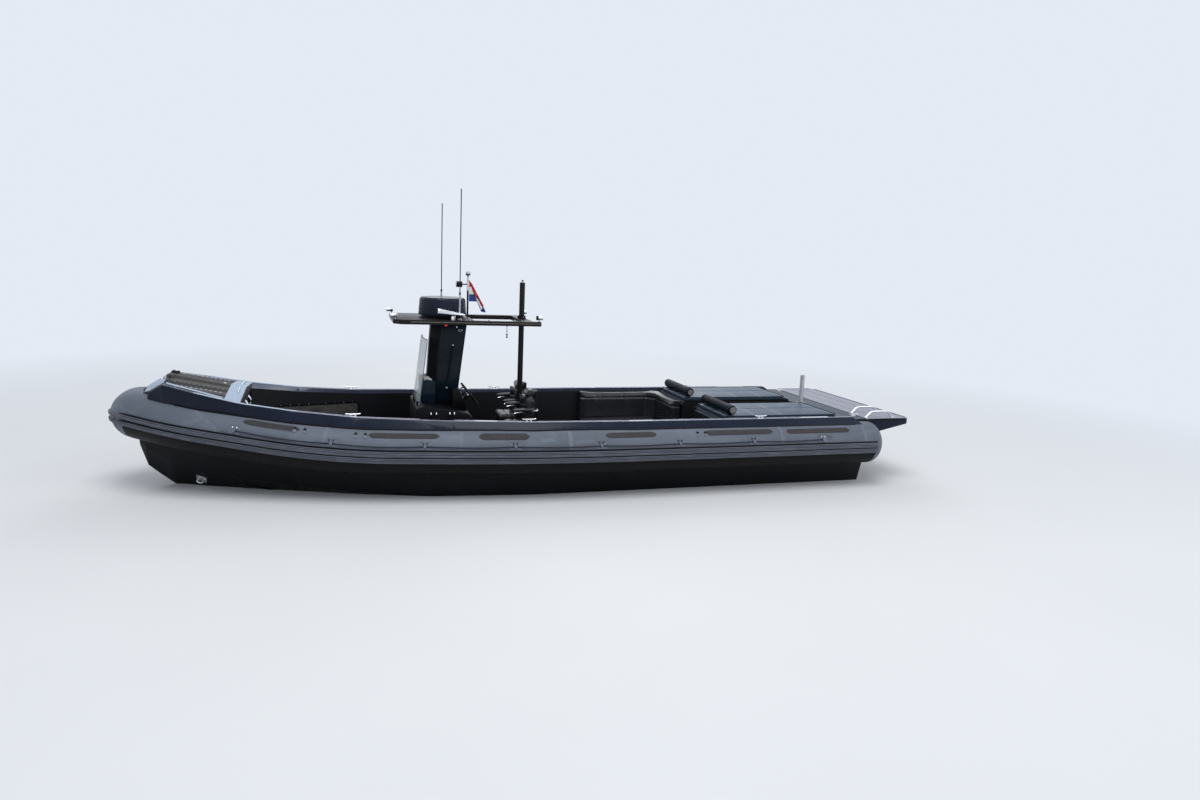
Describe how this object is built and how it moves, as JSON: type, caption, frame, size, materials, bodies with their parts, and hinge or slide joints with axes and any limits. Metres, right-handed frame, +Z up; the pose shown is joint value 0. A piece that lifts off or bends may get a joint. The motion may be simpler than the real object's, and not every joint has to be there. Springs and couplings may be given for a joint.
{
  "type": "rigid-hulled inflatable boat",
  "caption": "Cabinless motor boat afloat: deep-V hull with an inflated collar, central console under a roof, lounge, sun pads, swim platform and twin sterndrives.",
  "frame": {"origin": "amidships on the centreline, at the static waterline", "axes": "+X to the bow, +Y to port, +Z up"},
  "size_m": [10.0762, 3.1006, 4.48],
  "materials": {
    "hull": "gloss navy-black moulding",
    "tube": "satin coated fabric",
    "rail": "satin",
    "gunwale": "gloss",
    "deck": "satin",
    "ribbed": "anti-slip ribs",
    "platform": "satin",
    "stainless": "polished",
    "steel": "brushed",
    "pad": "gloss vinyl",
    "lounge": "satin vinyl",
    "engine": "painted",
    "drive": "gloss",
    "propeller": "brushed",
    "console": "gloss",
    "dash": "satin",
    "wheel": "stitched",
    "screen": "tinted",
    "roof": "gloss",
    "black": "satin",
    "shell": "gloss navy-black",
    "steps": "gloss",
    "rope": "braided",
    "patch": "satin",
    "bunting": "woven, three broad bands",
    "net": "soft woven",
    "rim": "satin"
  },
  "bodies": {
    "boat": {"hull": "hull", "tube_collar": "tube", "rub_rails": "rail", "gunwale": "gunwale", "foredeck": "deck", "swim_platform": "platform", "tow_post": "steel", "platform_hoops": "stainless", "lid_hinges": "steel", "engine_port": "engine", "engine_starboard": "engine", "drive_shields": "drive", "console": "console", "dash": "dash", "pylon": "console", "windscreen": "screen", "roof": "roof", "mast": "black", "radome": "shell", "whip_aerials": "black", "light_pole": "black", "roof_fittings": "stainless", "throttle": "stainless", "helm_seat_frames": "black", "helm_seat_cushions": "lounge", "helm_seat_backs": "lounge", "deck_ladder": "stainless", "benches": "dash", "bench_seats": "lounge", "bench_backs": "lounge", "aft_steps": "steps", "lifelines": "rope", "tube_fittings": "patch", "bow_eyes": "stainless", "wall_pocket_rims": "rim", "spray_rails": "hull", "console_box": "console", "flag": "bunting", "wall_pockets": "net"},
    "gimbal_port": {"gimbal_port": "drive"},
    "gimbal_starboard": {"gimbal_starboard": "drive"},
    "drive_leg_port": {"drive_leg_port": "drive"},
    "drive_leg_starboard": {"drive_leg_starboard": "drive"},
    "propeller_port": {"propeller_port": "propeller"},
    "propeller_starboard": {"propeller_starboard": "propeller"},
    "steering_wheel": {"steering_wheel": "wheel"},
    "engine_lid_port": {"engine_lid_port": "deck", "sun_pad_port": "pad", "headrest_port": "pad"},
    "engine_lid_starboard": {"engine_lid_starboard": "deck", "sun_pad_starboard": "pad", "headrest_starboard": "pad"},
    "bow_locker_lid": {"bow_locker_lid": "ribbed"}
  },
  "joints": [
    {"name": "steer_port", "type": "hinge", "parent": "boat", "child": "gimbal_port", "pos_m": [-4.45, 0.52, -0.073], "axis": [0, 0, 1], "range_deg": [-28, 28]},
    {"name": "steer_starboard", "type": "hinge", "parent": "boat", "child": "gimbal_starboard", "pos_m": [-4.45, -0.52, -0.073], "axis": [0, 0, 1], "range_deg": [-28, 28]},
    {"name": "wheel_turn", "type": "hinge", "parent": "boat", "child": "steering_wheel", "pos_m": [0.88, 0, 1.062], "axis": [-0.788, 0, 0.6157], "range_deg": [-336, 336]},
    {"name": "trim_port", "type": "hinge", "parent": "gimbal_port", "child": "drive_leg_port", "pos_m": [-4.545, 0.52, -0.06], "axis": [0, 1, 0], "range_deg": [0, 45]},
    {"name": "trim_starboard", "type": "hinge", "parent": "gimbal_starboard", "child": "drive_leg_starboard", "pos_m": [-4.545, -0.52, -0.06], "axis": [0, 1, 0], "range_deg": [0, 45]},
    {"name": "propeller_port_spin", "type": "hinge", "parent": "drive_leg_port", "child": "propeller_port", "pos_m": [-4.978, 0.52, -0.62], "axis": [1, 0, 0], "continuous": true},
    {"name": "propeller_starboard_spin", "type": "hinge", "parent": "drive_leg_starboard", "child": "propeller_starboard", "pos_m": [-4.978, -0.52, -0.62], "axis": [1, 0, 0], "continuous": true},
    {"name": "engine_lid_port_lift", "type": "hinge", "parent": "boat", "child": "engine_lid_port", "pos_m": [-3.991, 0.6825, 0.891], "axis": [0, -1, 0], "range_deg": [0, 60]},
    {"name": "engine_lid_starboard_lift", "type": "hinge", "parent": "boat", "child": "engine_lid_starboard", "pos_m": [-3.991, -0.6825, 0.891], "axis": [0, -1, 0], "range_deg": [0, 60]},
    {"name": "bow_locker_lid_lift", "type": "hinge", "parent": "boat", "child": "bow_locker_lid", "pos_m": [4.362, 0, 1.33759], "axis": [0, 1, 0], "range_deg": [0, 85]}
  ],
  "couplings": [
    {"joint": "steer_starboard", "follows": "steer_port", "ratio": 1},
    {"joint": "wheel_turn", "follows": "steer_port", "ratio": -12}
  ]
}
